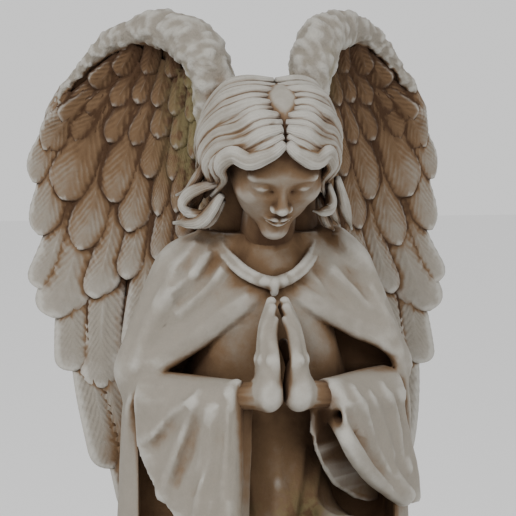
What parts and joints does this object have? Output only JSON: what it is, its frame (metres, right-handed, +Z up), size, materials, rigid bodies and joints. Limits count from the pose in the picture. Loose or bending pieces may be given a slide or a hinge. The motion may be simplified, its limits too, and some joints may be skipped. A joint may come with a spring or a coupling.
{
  "type": "praying angel statue",
  "caption": "Cast stone angel kneeling in prayer on a low base, head bent, in a robe and mantle, with feathered wings arched behind it.",
  "frame": {"origin": "centre of the underside of the base", "axes": "+Z up, the figure faces -Y, +X is on the figure's left hand side"},
  "size_m": [0.303, 0.2706, 0.5852],
  "materials": {
    "angel_statue": "matt cream cast stone, rubbed pale on its high places, with brown dirt in its recesses"
  },
  "bodies": {
    "root": {"angel_statue": "angel_statue"}
  },
  "joints": []
}
